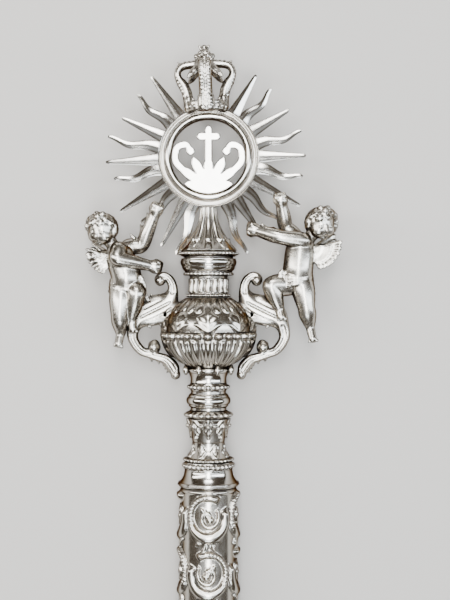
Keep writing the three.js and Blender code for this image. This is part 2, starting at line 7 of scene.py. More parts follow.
import bpy
import numpy as np
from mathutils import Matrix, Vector


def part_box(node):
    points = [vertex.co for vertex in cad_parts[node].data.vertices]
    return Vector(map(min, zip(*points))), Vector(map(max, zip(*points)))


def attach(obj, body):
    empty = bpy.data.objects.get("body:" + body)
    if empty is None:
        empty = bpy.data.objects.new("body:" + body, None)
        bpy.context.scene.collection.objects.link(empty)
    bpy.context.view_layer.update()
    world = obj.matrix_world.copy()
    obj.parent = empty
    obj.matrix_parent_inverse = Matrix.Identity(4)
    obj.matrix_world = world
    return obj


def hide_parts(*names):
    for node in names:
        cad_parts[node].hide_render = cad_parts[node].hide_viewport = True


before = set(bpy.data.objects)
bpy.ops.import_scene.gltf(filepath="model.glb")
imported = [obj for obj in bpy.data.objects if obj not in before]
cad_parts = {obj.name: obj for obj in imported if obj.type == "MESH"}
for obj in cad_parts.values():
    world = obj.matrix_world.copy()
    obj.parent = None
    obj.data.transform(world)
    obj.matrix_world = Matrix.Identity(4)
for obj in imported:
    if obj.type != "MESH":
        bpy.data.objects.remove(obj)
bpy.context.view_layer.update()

MM = 0.001
GAP = 0.3  # clearance between pieces that touch
HEAD_BASE = -12.0  # lower end of the bead collar, where the shaft begins
RING_CENTRE = 218.0
RING_OUTER = 35.2
RING_INNER = 26.2
GLORY_LEAN = math.radians(2.3)  # ring, rays and crown lean to the viewer's left
TUBE_RADIUS = 19.0
GOLDEN_ANGLE = math.pi * (3 - math.sqrt(5))  # spreads points evenly round an axis

tube_low, tube_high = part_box("chased_tube")
ORIGIN = np.array([
    (tube_low[0] + tube_high[0]) / 2,
    tube_high[1] - (HEAD_BASE - GAP) * MM,
    (tube_low[2] + tube_high[2]) / 2,
])
AXIS_ABOVE_FLOOR = ORIGIN[2] / MM


# Materials

WARM_WHITE = (0.88, 0.87, 0.83)
SOFT_WHITE = (0.85, 0.83, 0.77)
# Painted shade: the darker colour that the silver's sides are given in place of the shade they get
PAINTED_SIDE_SHADE = (0.17, 0.135, 0.1)
TARNISH = (0.05, 0.038, 0.027)
TARNISH_ROUGHNESS = 0.46
EDGE_SHADE = (0.2, 0.175, 0.145)


def fill_inputs(tree, node, inputs):
    """Sets each input of a node to a constant, or links it to another node's output."""
    for key, value in inputs.items():
        if isinstance(value, bpy.types.NodeSocket):
            tree.links.new(value, node.inputs[key])
        else:
            node.inputs[key].default_value = value


def silver(name, bright, shine, hollow_reach, hollow_start, dent, dent_size):
    """Silver with painted shade, darker on its sides than where it faces up, and tarnished in its
    hollows.
    """
    material = bpy.data.materials.new(name)
    material.use_nodes = True
    tree = material.node_tree

    def make(kind, inputs, **settings):
        node = tree.nodes.new("ShaderNode" + kind)
        for key, value in settings.items():
            setattr(node, key, value)
        fill_inputs(tree, node, inputs)
        return node.outputs

    def noise(scale, detail, roughness):
        inputs = {"Vector": place, "Scale": scale, "Detail": detail, "Roughness": roughness}
        return make("TexNoise", inputs)["Fac"]

    def smooth_range(value, low, high):
        inputs = {"Value": value, "From Min": low, "From Max": high}
        return make("MapRange", inputs, interpolation_type="SMOOTHSTEP")["Result"]

    def mix(kind, factor, low, high):
        return make("Mix", {"Factor": factor, "A": low, "B": high}, data_type=kind)["Result"]

    place = make("TexCoord", {})["Object"]
    hollow = make("AmbientOcclusion", {"Distance": hollow_reach}, samples=6)["AO"]
    cloud = make("Math", {0: noise(60.0, 5.0, 0.6), 1: 0.22, 2: -0.11}, operation="MULTIPLY_ADD")[0]
    clean = smooth_range(make("Math", {0: hollow, 1: cloud}, operation="ADD")[0], hollow_start, 0.86)
    normal = make("NewGeometry", {})["Normal"]
    # Painted shade: each surface is coloured darker the less it faces up, and full silver where it
    # faces up
    faces_up_for_painted_shade = smooth_range(make("SeparateXYZ", {0: normal})["Z"], 0.3, 0.95)
    colour_with_painted_side_shade = mix("RGBA", faces_up_for_painted_shade, (*PAINTED_SIDE_SHADE, 1.0), (*bright, 1.0))
    smears = {"Value": noise(140.0, 4.0, 0.7), "From Min": 0.3, "From Max": 0.75}
    rough = make("MapRange", {**smears, "To Min": shine, "To Max": shine + 0.1})["Result"]
    dents = {"Height": noise(1.0 / dent_size, 3.0, 0.55), "Strength": 1.0, "Distance": dent}
    fill_inputs(tree, tree.nodes["Principled BSDF"], {
        "Metallic": 1.0,
        "Specular Tint": (*EDGE_SHADE, 1.0),
        "Base Color": mix("RGBA", clean, (*TARNISH, 1.0), colour_with_painted_side_shade),
        "Roughness": mix("FLOAT", clean, TARNISH_ROUGHNESS, rough),
        "Normal": make("Bump", dents)["Normal"],
    })
    return material


POLISHED, CAST, CHASED = "polished_silver", "cast_silver", "chased_silver"
FINISHES = {
    POLISHED: silver("polished", WARM_WHITE, 0.12, 0.0025, 0.3, 0.00005, 0.007),
    CAST: silver("cast", SOFT_WHITE, 0.22, 0.005, 0.4, 0.00006, 0.0035),
    CHASED: silver("chased", SOFT_WHITE, 0.18, 0.004, 0.42, 0.00005, 0.004),
}


# Pieces


def staff_object(node, slot, points, faces):
    """The piece that stands for one CAD node, from points in millimetres and faces of four corners."""
    name = node + "_piece"
    mesh = bpy.data.meshes.new(name)
    points = points * MM + ORIGIN
    faces = faces.astype(np.int32)
    sides = faces.shape[1]
    mesh.vertices.add(len(points))
    mesh.vertices.foreach_set("co", points.astype(np.float32).ravel())
    mesh.loops.add(faces.size)
    mesh.loops.foreach_set("vertex_index", faces.ravel())
    mesh.polygons.add(len(faces))
    mesh.polygons.foreach_set("loop_start", np.arange(0, faces.size, sides, dtype=np.int32))
    mesh.polygons.foreach_set("use_smooth", np.ones(len(faces), dtype=bool))
    mesh.materials.append(FINISHES[slot])
    mesh.update(calc_edges=True)
    mesh.validate()
    piece = bpy.data.objects.new(name, mesh)
    bpy.context.scene.collection.objects.link(piece)
    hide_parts(node)
    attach(piece, "root")
    return piece


def joined(parts):
    """One list of points and one of faces from several."""
    points, faces, start = [], [], 0
    for part_points, part_faces in parts:
        points.append(part_points)
        faces.append(part_faces + start)
        start += len(part_points)
    return np.concatenate(points), np.concatenate(faces)


def grid_faces(rows, columns):
    """Four-cornered faces of a grid whose rows close on themselves."""
    row = np.arange(rows - 1)[:, None] * columns
    column = np.arange(columns)
    after = (column + 1) % columns
    corners = [row + column, row + after, row + columns + after, row + columns + column]
    return np.stack([corner.ravel() for corner in corners], axis=1)


# Relief, as heights in millimetres over a surface


def smooth_step(low, high, value):
    t = np.clip((value - low) / (high - low), 0.0, 1.0)
    return t * t * (3 - 2 * t)


def faded(value, start, full, fading, end):
    """1 between full and fading, 0 outside start and end, and smooth from one to the other."""
    return smooth_step(start, full, value) * (1 - smooth_step(fading, end, value))


def within(value, low, high):
    return (value > low) & (value < high)


def dome(distance, radius):
    """A round boss whose height is 1 in the middle and 0 at its edge."""
    return np.sqrt(np.clip(1 - (distance / radius) ** 2, 0.0, 1.0))


def ridge(distance, width):
    """A soft ridge whose height is 1 on its middle line."""
    return np.exp(-((distance / width) ** 2))


def nearest_turn(angle, count, phase=0.0):
    """The signed angle to the nearest of count equal divisions."""
    step = 2 * math.pi / count
    turn = (angle - phase) / step
    return (turn - np.round(turn)) * step


def bead_row(angle, height, middle, ring_radius, count, radius):
    across = nearest_turn(angle, count) * ring_radius
    return radius * dome(np.hypot(across, height - middle), radius)


def leaf_height(across, along, half_width, teeth):
    """A veined leaf with a midrib and a toothed edge. along runs from 0 at its root to 1 at its tip."""
    t = np.clip(along, 0.0, 1.0)
    shape = np.sin(math.pi * t**0.75) ** 0.7
    tooth = 1 - 0.26 * np.abs(np.sin(math.pi * teeth * t))
    width = half_width * shape * tooth + 1e-6
    u = np.abs(across) / width
    body = np.clip(1 - u**2.4, 0.0, 1.0) ** 0.55
    vein = 0.16 * np.cos(2 * math.pi * (teeth * t - 1.1 * np.abs(across) / half_width))
    rib = 0.3 * ridge(across, 0.13 * half_width)
    height = body * (0.78 + vein * np.clip(u * 3, 0, 1)) + rib * (u < 1) * body
    return np.where(within(along, 0, 1), height, 0.0)


# Turned pieces


def moulding_profile(mouldings, base, spacing):
    """Heights and radii along mouldings given as (lower radius, upper radius, height, swell)."""
    heights, radii = [base], [0.0]
    height = base
    for lower, upper, rise, swell in mouldings:
        rows = max(2, int(math.ceil(rise / spacing)))
        t = np.linspace(0.0, 1.0, rows + 1)
        heights.extend(height + rise * t)
        radii.extend(lower + (upper - lower) * t + swell * np.sin(math.pi * t))
        height += rise
    heights.append(height)
    radii.append(0.0)
    return np.array(heights), np.array(radii)


def rise_of(mouldings):
    return sum(rise for _, _, rise, _ in mouldings)


def turned_points(mouldings, base, sides, spacing, relief=None):
    """A turned body. What would sink into the floor is pressed flat onto it."""
    heights, radii = moulding_profile(mouldings, base, spacing)
    angle, height = np.meshgrid(np.linspace(0.0, 2 * math.pi, sides, endpoint=False), heights)
    radius = radii[:, None] + 0 * angle
    if relief:
        radius = np.where(radius > 0.5, radius + relief(angle, height - base), radius)
    points = np.stack([radius * np.sin(angle), height, radius * np.cos(angle)], axis=-1).reshape(-1, 3)
    points[:, 2] = np.maximum(points[:, 2], -AXIS_ABOVE_FLOOR)
    return points, grid_faces(len(heights), sides)[:, ::-1]


# Modelled pieces: a field of distances to the surface, negative inside, that is built up like clay


FAR = 3.0  # what the field says far from any surface


class Clay:
    def __init__(self, low, high, step):
        self.low = np.array(low, float)
        self.step = step
        self.size = np.ceil((np.array(high) - self.low) / step).astype(int) + 1
        self.field = np.full(self.size, FAR, dtype=np.float32)

    def part(self, low, high):
        """The slices of the field between two corners, and the coordinates in them."""
        first = np.clip(np.floor((low - self.low) / self.step).astype(int), 0, self.size - 1)
        last = np.clip(np.ceil((high - self.low) / self.step).astype(int) + 1, 1, self.size)
        slices = tuple(slice(a, b) for a, b in zip(first, last))
        axes = [np.float32(x + self.step * np.arange(a, b)) for x, a, b in zip(self.low, first, last)]
        return slices, np.meshgrid(*axes, indexing="ij", sparse=True)

    def everywhere(self):
        """The coordinates in the whole field."""
        return self.part(self.low, self.low + self.step * self.size)[1]

    def merge(self, slices, distance, blend, cut):
        """Joins a form to the field, or cuts it out, with a soft seam as wide as blend."""
        old = self.field[slices]
        new = -distance if cut else distance
        sign = -1.0 if cut else 1.0
        gap = (new - old) * sign
        t = np.clip(0.5 + 0.5 * gap / blend, 0.0, 1.0)
        self.field[slices] = new * (1 - t) + old * t - sign * blend * t * (1 - t)

    def ball(self, centre, radius, scale=(1, 1, 1), turn=None, blend=1.0, cut=False):
        """An ellipsoid. turn is a quaternion from its own axes to the staff's."""
        reach = radius * max(scale) + blend + 2 * self.step
        centre = np.array(centre, float)
        slices, (x, y, z) = self.part(centre - reach, centre + reach)
        offsets = (x - centre[0], y - centre[1], z - centre[2])
        if turn is not None:
            rows = np.array(turn.inverted().to_matrix())
            offsets = [row[0] * offsets[0] + row[1] * offsets[1] + row[2] * offsets[2] for row in rows]
        radii = np.array(scale, float) * radius
        scaled = np.sqrt(sum((offset / r) ** 2 for offset, r in zip(offsets, radii)))
        slope = np.sqrt(sum((offset / r**2) ** 2 for offset, r in zip(offsets, radii))) + 1e-6
        self.merge(slices, scaled * (scaled - 1) / slope, blend, cut)

    def limb(self, start, end, start_radius, end_radius, blend=1.0, depth=1.0, cut=False):
        """A tapering round-ended limb. depth scales it along z about its own middle line."""
        a, b = np.array([start, end], float)
        reach = max(start_radius, end_radius) * max(depth, 1.0) + blend + 2 * self.step
        slices, (x, y, z) = self.part(np.minimum(a, b) - reach, np.maximum(a, b) + reach)
        along = b - a
        length = max(float(along @ along), 1e-9)
        t = ((x - a[0]) * along[0] + (y - a[1]) * along[1] + (z - a[2]) * along[2]) / length
        t = np.clip(t, 0.0, 1.0)
        dx, dy = x - a[0] - t * along[0], y - a[1] - t * along[1]
        dz = (z - a[2] - t * along[2]) / depth
        radius = start_radius + (end_radius - start_radius) * t
        self.merge(slices, np.sqrt(dx * dx + dy * dy + dz * dz) - radius, blend, cut)

    def trail(self, points, radii, blend=0.6, depth=1.0, cut=False):
        """A row of limbs from point to point."""
        for i in range(len(points) - 1):
            self.limb(points[i], points[i + 1], radii[i], radii[i + 1], blend, depth, cut)

    def surface(self):
        """Points and faces where the field changes sign, one point to each crossed cell."""
        field = self.field
        field[[0, -1]] = field[:, [0, -1]] = field[:, :, [0, -1]] = 1.0
        inside = field < 0
        cells = tuple(n - 1 for n in field.shape)
        total = np.zeros((*cells, 3), dtype=np.float32)
        count = np.zeros(cells, dtype=np.float32)
        crossings = []
        for axis, (u, v) in enumerate([(1, 2), (0, 2), (0, 1)]):
            before = tuple(slice(None, -1 if i == axis else None) for i in range(3))
            after = tuple(slice(1 if i == axis else None, None) for i in range(3))
            a, b = field[before], field[after]
            places = np.argwhere(inside[before] != inside[after])
            index = tuple(places.T)
            position = places.astype(np.float32)
            position[:, axis] += a[index] / (a[index] - b[index])
            touching = {}
            for i, j in ((0, 0), (0, 1), (1, 0), (1, 1)):
                cell = places.copy()
                cell[:, [u, v]] -= [i, j]
                touching[i, j] = tuple(cell.T)
                np.add.at(total, touching[i, j], position)
                np.add.at(count, touching[i, j], 1.0)
            crossings.append((touching, axis == 1, inside[before][index]))
        used = count > 0
        number = np.full(cells, -1, dtype=np.int64)
        number[used] = np.arange(int(used.sum()))
        points = total[used] / count[used][:, None] * self.step + self.low
        faces = []
        for touching, swapped, first_inside in crossings:
            corners = [(1, 1), (1, 0), (0, 0), (0, 1)] if swapped else [(1, 1), (0, 1), (0, 0), (1, 0)]
            quads = np.stack([number[touching[corner]] for corner in corners], axis=1)
            quads[~first_inside] = quads[~first_inside][:, ::-1]
            faces.append(quads)
        return points, np.concatenate(faces)


def smooth_line(points, steps):
    """Points evenly spread along a smooth curve through the given ones, each a tuple of numbers."""
    given = np.array(points, float)
    padded = np.concatenate([2 * given[:1] - given[1:2], given, 2 * given[-1:] - given[-2:-1]])
    result = []
    for place in np.linspace(0, len(given) - 1, steps):
        i = min(int(place), len(given) - 2)
        t = place - i
        p0, p1, p2, p3 = padded[i:i + 4]
        curve = 2 * p1 + (p2 - p0) * t + (2 * p0 - 5 * p1 + 4 * p2 - p3) * t**2
        result.append((curve + (3 * p1 - p0 - 3 * p2 + p3) * t**3) / 2)
    return np.array(result)


def heading(path, i):
    """The direction at a point of a path, seen from the front."""
    ahead = path[i + 1][:2] - path[i - 1][:2]
    return ahead / np.hypot(*ahead)


def leaning(points):
    """Turned with the glory about the middle of the ring."""
    c, s = math.cos(GLORY_LEAN), math.sin(GLORY_LEAN)
    x, y = points[..., 0], points[..., 1] - RING_CENTRE
    turned = points.copy()
    turned[..., 0] = c * x - s * y
    turned[..., 1] = s * x + c * y + RING_CENTRE
    return turned


def mirrored(point, side):
    return (point[0] * side, *point[1:])


def mirrored_clay(side, low, high, step):
    """Clay between two corners that are given as on the viewer's right."""
    near, far = sorted((side * low[0], side * high[0]))
    return Clay((near, *low[1:]), (far, *high[1:]), step)


# Turned pieces of the head, from the bead collar up to the bell


def bead_collar_relief(angle, height):
    rim = 0.35 * np.cos(2 * math.pi * height / 1.5) * within(height, 0, 3)
    return bead_row(angle, height, 14.6, 17.0, 30, 1.75) + rim - 0.3 * ridge(height - 11, 0.5)


def stem_relief(angle, height):
    """Leaves that hang from the upper ring, small ones that rise between them, and rows of beads."""
    leaves = 8
    across = nearest_turn(angle, leaves)
    beside = nearest_turn(angle, leaves, math.pi / leaves)
    hanging = 1.5 * leaf_height(across * 12.5, (30 - height) / 14, 4.6, 3)
    rising = 1.3 * leaf_height(beside * 13.5, (height - 3) / 9, 4.4, 2)
    beads = bead_row(angle, height, 32.4, 14.5, 20, 2.1) + bead_row(angle, height, 24.6, 13.4, 16, 1.5)
    return np.maximum(hanging, rising) + beads + bead_row(angle, height, 1.3, 16.5, 32, 1.2)


def ring_collar_relief(angle, height):
    lines = 0.45 * (ridge(height - 4, 0.4) + ridge(height - 9.6, 0.4))
    return bead_row(angle, height, 16.3, 13.2, 24, 1.6) - lines


def knop_relief(angle, height):
    """Gadroons under a belt of bosses, leaves and petals over it, and a pendant leaf on each side."""
    gadroons, bosses, leaves, petals = 18, 26, 8, 24
    belt, shoulder = 20.5, 39.0
    across = nearest_turn(angle, gadroons)
    border = np.abs(np.abs(across) - math.pi / gadroons) * 28
    rising = faded(height, 0.5, 4, belt - 3, belt - 0.5)
    gadroon = (1.7 * ridge(border, 0.8) + 1.0 * dome(across * 28, 1.8)) * rising
    boss = 3.2 * dome(np.hypot(nearest_turn(angle, bosses) * 31.0, height - belt - 1.4), 2.9)
    leaf = 1.1 * leaf_height(nearest_turn(angle, leaves) * 27, (height - belt - 4.5) / 15.5, 9.4, 3)
    petal = 1.5 * dome(np.hypot(nearest_turn(angle, petals) * 20, (height - shoulder - 4) * 0.5), 2.6)
    pendant_across = nearest_turn(angle, 2, math.pi / 2) * 31
    pendant = 3.6 * leaf_height(pendant_across, (40 - height) / 33, 7.4, 5)
    return np.maximum(np.maximum(gadroon, boss) + np.maximum(leaf, petal), pendant)


def knop_drops(base):
    """Small drops that hang under the knop."""
    drops, ring_radius = 8, 17.0
    parts = []
    for i in range(drops):
        turn = 2 * math.pi * (i + 0.5) / drops
        points, faces = turned_points([(0.7, 0.7, 7.0, 1.5)], 0.0, 16, 0.5)
        place = np.array([ring_radius * math.sin(turn), base - 5.2, ring_radius * math.cos(turn)])
        parts.append((points + place, faces))
    return parts


def neck_relief(angle, height):
    """Round-topped flutes over a row of beads."""
    across = nearest_turn(angle, 16) * 13
    top = 13.6 - across**2 / 4
    flute = (1.9 * dome(across, 2.0) - 0.6) * faded(height, 2.8, 4.2, top - 1.2, top)
    return flute + bead_row(angle, height, 1.2, 14.6, 30, 1.0)


def collar_relief(angle, height):
    """A barred edge below, an engraved line and a row of beads above."""
    bars = 0.7 * np.abs(np.cos(16 * angle)) ** 0.6 * within(height, 0.3, 2.2)
    return bars - 0.3 * ridge(height - 11.0, 0.35) + bead_row(angle, height, 15.4, 19.8, 44, 1.1)


def bell_relief(angle, height):
    """Round ribs that run together towards the top, over a row of tongues."""
    across = nearest_turn(angle, 8)
    radius = 17.5 - 12 * np.clip(height / 30.3, 0, 1) ** 0.6
    rib = (0.19 * dome(across * radius, 0.34 * radius) - 0.07) * radius * smooth_step(5.6, 9, height)
    return rib + 1.3 * leaf_height(across * 17, (8.6 - height) / 8.4, 5.6, 1)


# Each piece: node, slot, mouldings from the bottom up, sides, spacing of its rows and relief
HEAD_PIECES = [
    ("bead_collar", POLISHED, [(20.4, 21.2, 3, 0.7), (20.2, 17, 9, -1.1), (16.6, 16.6, 5.2, 0.4)],
     240, 0.4, bead_collar_relief),
    ("baluster_stem", CHASED,
     [(16, 16, 2.6, 0.9), (15.2, 11.4, 11, -1.7), (11.4, 14.2, 16, -0.5), (13.4, 13.4, 5.6, 1.9)],
     240, 0.42, stem_relief),
    ("ring_collar", POLISHED,
     [(12.6, 12.6, 2, 0), (13, 13, 9.6, 2.6), (12.2, 12.2, 2, 0), (12.6, 12.6, 5.4, 1)],
     192, 0.35, ring_collar_relief),
    ("knop_socket", POLISHED, [(12.8, 14.4, 7, -0.9), (14.6, 14.6, 3.4, 0.9)], 128, 0.4, None),
    ("knop", CHASED, [(14.5, 29.6, 20.5, 3.4), (29.6, 29.6, 4, 0.5), (29.6, 15.6, 24, 5)],
     360, 0.45, knop_relief),
    ("fluted_neck", CHASED, [(14.4, 14.2, 2.4, 0.6), (13.6, 13.4, 12.4, -0.9)],
     320, 0.35, neck_relief),
    ("collar", POLISHED,
     [(16.6, 16.4, 2.4, 0.6), (16.2, 18.7, 4.2, 0.7), (18.9, 19.2, 5.2, 0.7), (17.6, 17.6, 1.6, -0.4),
      (18.8, 19.2, 3.6, 1.5)],
     320, 0.4, collar_relief),
    ("bell", CHASED, [(19.4, 12.4, 8.6, -0.6), (12, 5.2, 21.7, -2)], 288, 0.42, bell_relief),
]


def stack(pieces, edge, upwards):
    """Stacks turned pieces up or down the staff from an edge, with a clearance between them."""
    for node, slot, mouldings, sides, spacing, relief in pieces:
        rise = rise_of(mouldings)
        base = edge if upwards else edge - rise
        parts = [turned_points(mouldings, base, sides, spacing, relief)]
        if node == "knop":
            parts += knop_drops(base)
        staff_object(node, slot, *joined(parts))
        edge = base + (rise + GAP) if upwards else base - GAP


stack(HEAD_PIECES, HEAD_BASE, True)


# Shaft

TUBE_LENGTH = 138.0
FOLIAGE_COLUMNS = 4
COIL_DROP = 19.0  # from the tube's top to the middle of the first coil
COIL_PITCH = 39.0
COIL_COUNT = 3
COIL_RADIUS = 12.4
COIL_STRETCH = 1.13  # along the staff
SPRAY_LEAVES = ((-0.75, 13.0), (-0.25, 16.0), (0.35, 14.0), (0.95, 11.0))  # lean, length
PLAIN_TUBE_LENGTH = 420.0


def coil_relief(x, y, radius, hand):
    """A gadrooned C-scroll whose inner end curls in to an eye beside a small leaf."""
    y = y / COIL_STRETCH
    distance = np.hypot(x, y)
    turn = np.arctan2(x * hand, y)
    swelling = 1.1 + 0.35 * np.cos(turn - 2.4)
    opening = smooth_step(0.2, 0.5, np.abs((turn - 0.9 + math.pi) % (2 * math.pi) - math.pi))
    cut_side = smooth_step(0.3, 0.9, -np.sin(turn - 0.5))
    notches = 1 - 0.4 * cut_side * (1 - np.abs(np.cos(17 * turn + 0.25 * (distance - radius))))
    rim = 3.4 * dome(distance - radius, 0.2 * radius * swelling) * notches * opening
    spiral = radius * (0.62 - 0.075 * ((turn - 0.9) % (2 * math.pi)))
    hook = 1.9 * dome(distance - spiral, 0.1 * radius) * (distance > 0.1 * radius)
    eye = 2.4 * dome(np.hypot(x - 0.1 * radius * hand, y + 0.1 * radius), 0.21 * radius)
    c, s = math.cos(-0.7), math.sin(-0.7)
    along = (x * hand * s + y * c) / (0.62 * radius)
    leaf = 1.7 * leaf_height(x * hand * c - y * s, along, 0.24 * radius, 3)
    return np.maximum(np.maximum(rim, hook), np.maximum(eye, leaf))


def tube_relief(angle, height):
    """Columns of coils that turn first one way, then the other, with sprays of leaves between them."""
    x = nearest_turn(angle, FOLIAGE_COLUMNS) * TUBE_RADIUS
    total = np.zeros_like(x)
    for coil in range(COIL_COUNT + 1):
        middle = TUBE_LENGTH - COIL_DROP - coil * COIL_PITCH
        hand = 1 if coil % 2 == 0 else -1
        total = np.maximum(total, coil_relief(x, height - middle, COIL_RADIUS, hand))
        down = middle - COIL_PITCH / 2 + 9 - height
        for lean, length in SPRAY_LEAVES:
            c, s = math.cos(lean * hand), math.sin(lean * hand)
            leaf = leaf_height(x * c - down * s, (x * s + down * c) / length, 3.4, 3)
            total = np.maximum(total, 1.8 * leaf)
        for bead in range(3):
            bead_y = middle - 4 + 4.2 * bead
            total = np.maximum(total, 1.3 * dome(np.hypot(x + hand * 14.2, height - bead_y), 1.5))
    inside = faded(height, 0.2, 2.5, TUBE_LENGTH - 2.5, TUBE_LENGTH - 0.2)
    rim = 0.9 * (dome(height - 2.2, 1.3) + dome(height - TUBE_LENGTH + 2.2, 1.3))
    return total * inside * (1 - 0.5 * (rim > 0)) + rim


def joint_relief(angle, height):
    """Two corded edges that twist opposite ways, and an engraved line between them."""
    cord = 0.45 * np.cos(30 * angle + 1.8 * height) * within(height, 0.6, 3.6)
    cord += 0.45 * np.cos(30 * angle - 1.8 * height) * within(height, 14.4, 17.4)
    return cord - 0.5 * ridge(height - 9, 0.5)


def plain_tube(lower, upper):
    """A plain tube with a pair of engraved lines near each end."""
    def end(radius):
        line = (radius, radius, 0.8, -0.35)
        return [(radius, radius, 6, 0), line, (radius, radius, 1.2, 0), line]

    between_ends = PLAIN_TUBE_LENGTH - rise_of(end(lower)) - rise_of(end(upper))
    return [*end(lower), (lower, upper, between_ends, 0), *reversed(end(upper))]


def pommel_relief(angle, height):
    gadroons = 16
    lobe = np.abs(np.cos(gadroons * angle / 2)) ** 0.8
    return 1.5 * (lobe - 0.5) * faded(height, 6, 12, 23, 27)


JOINT_RING = [(17.5, 18.5, 4, 1.3), (18, 18, 10, 4.4), (18.5, 17.5, 4, 1.3)]
# The pieces of the shaft from the top down, each given like those of the head
SHAFT_PIECES = [
    ("chased_tube", CHASED, [(TUBE_RADIUS, TUBE_RADIUS, TUBE_LENGTH, 0)], 320, 0.6, tube_relief),
    ("upper_joint_ring", POLISHED, JOINT_RING, 180, 0.45, joint_relief),
    ("middle_tube", POLISHED, plain_tube(16.4, 17), 96, 20, None),
    ("lower_joint_ring", POLISHED, JOINT_RING, 180, 0.45, joint_relief),
    ("lower_tube", POLISHED, plain_tube(15.8, 16.4), 96, 20, None),
    ("pommel", POLISHED, [(13, 15, 5, -1.2), (15, 15, 46, 15.6), (15, 13.5, 4, -1), (14.5, 17, 6, 1.6)],
     192, 0.9, pommel_relief),
    ("foot_tip", POLISHED, [(8.5, 9.5, 4, 0), (9.5, 13, 7, 1.4)], 96, 0.5, None),
]


stack(SHAFT_PIECES, HEAD_BASE - GAP, False)


# Sunburst

# The rays of each side from the top down: (degrees above the horizontal, reach from the ring's middle)
RAYS = {
    1: [
        (57.6, 66.4), (43.6, 64.6), (28, 65.4), (12, 67.6), (-1.4, 68.2),
        (-15.4, 67.4), (-30.2, 72.6), (-45.2, 67.6), (-58.3, 66), (-71.9, 72.4),
    ],
    -1: [
        (57, 69), (42, 66), (26.6, 66.4), (12.4, 71.8), (-0.6, 72),
        (-12.4, 68), (-29.3, 72.6), (-43.6, 66), (-59.8, 70.6), (-70.9, 72),
    ],
}
RAY_ROOT = RING_OUTER - 2
RAY_WAVE = 1.9
RAY_HALF_WAVES = 2.6  # along one wavy ray
RAY_ROOT_HALF_WIDTH = 4.8
RAY_TIP_HALF_WIDTH = 1.1
RAY_FLATNESS = 0.36
RAY_FACET_ANGLE = math.radians(24)  # edges sharper than this stay crisp


def ring_profile():
    """The ring's section as (radius, depth) from its inner edge over the front to its outer edge."""
    bead_middle, bead_radius, crest = 28.3, 2.1, 2.9
    band_start, band_width, grooves = 30.4, 4.6, 4
    profile = [(RING_INNER, 0.0)]
    for a in np.linspace(-0.5, math.pi, 14):
        profile.append((bead_middle - bead_radius * math.cos(a), crest + bead_radius * math.sin(a)))
    for t in np.linspace(0, 1, 26):
        depth = crest - 0.5 * t + 0.22 * math.cos(2 * math.pi * grooves * t)
        profile.append((band_start + band_width * t, depth))
    return [*profile, (RING_OUTER, 1.9), (RING_OUTER, 0.0)]


def ring_of_glory():
    front = ring_profile()
    radius, depth = np.array(front + [(r, -z) for r, z in front[-2:0:-1]]).T
    turn = np.linspace(0, 2 * math.pi, 180, endpoint=False)[:, None]
    x, y = radius * np.sin(turn), radius * np.cos(turn) + RING_CENTRE
    points = np.stack([x, y, depth + 0 * turn], axis=-1)
    closed = np.concatenate([points, points[:1]])
    return closed.reshape(-1, 3), grid_faces(len(closed), len(radius))


def ray_angle(side, index):
    slope = math.radians(RAYS[side][index][0])
    return slope if side > 0 else math.pi - slope


def ray(side, index):
    """A blade with a sharp ridge along its middle on both faces, straight or wavy, root to tip."""
    wavy = index % 2 == 1
    angle = ray_angle(side, index)
    t = np.linspace(0, 1, 40)
    reach = RAY_ROOT + (RAYS[side][index][1] - RAY_ROOT) * t
    sway = RAY_WAVE * side * np.sin(RAY_HALF_WAVES * math.pi * t) * (0.3 + 0.7 * t) if wavy else 0 * t
    half = RAY_ROOT_HALF_WIDTH + (RAY_TIP_HALF_WIDTH - RAY_ROOT_HALF_WIDTH) * t**0.9
    half = half * np.sqrt(np.clip((1.02 - t) / 0.06, 0.0, 1.0))
    section = [(-1, 0.0), (-0.94, 0.12), (-0.5, 0.42), (0, 1), (0.5, 0.42), (0.94, 0.12)]
    section += [(-u, -v) for u, v in section]
    u, v = np.array(section).T
    along = np.array([math.cos(angle), math.sin(angle), 0.0])
    across = np.array([-math.sin(angle), math.cos(angle), 0.0])
    middle = reach[:, None, None] * along + (sway[:, None] + half[:, None] * u)[..., None] * across
    points = middle + np.array([0, RING_CENTRE, 0])
    points[..., 2] = (RAY_FLATNESS * half)[:, None] * v
    return points.reshape(-1, 3), grid_faces(len(t), len(section))[:, ::-1]


def sunburst():
    rays = [ray(side, index) for side in (-1, 1) for index in range(len(RAYS[side]))]
    points, faces = joined([ring_of_glory(), *rays])
    piece = staff_object("sunburst", POLISHED, leaning(points), faces)
    piece.data.set_sharp_from_angle(angle=RAY_FACET_ANGLE)


# Emblem, a plain cross over a palmette whose outer lobes end in curls

EMBLEM_DEPTH = 2.4
LOBE_STEP = math.radians(27)
LOBE_REACHES = (22, 24, 24, 17)  # from the middle lobe outwards
LOBE_SHAPE = ((0.0, 4), (0.4, 5.6), (0.75, 6.8), (0.96, 3))  # share of the reach, width
PALMETTE_ROOT = -22.0
CURL = [(16, -11, 5), (23, -3, 5), (22.4, 6, 4.8), (16, 8.6, 4.4), (12.4, 4, 4)]
CROSS_ARMS, CROSS_TOP, CROSS_REACH, CROSS_WIDTH = 14.4, 21.8, 8.3, 5.0


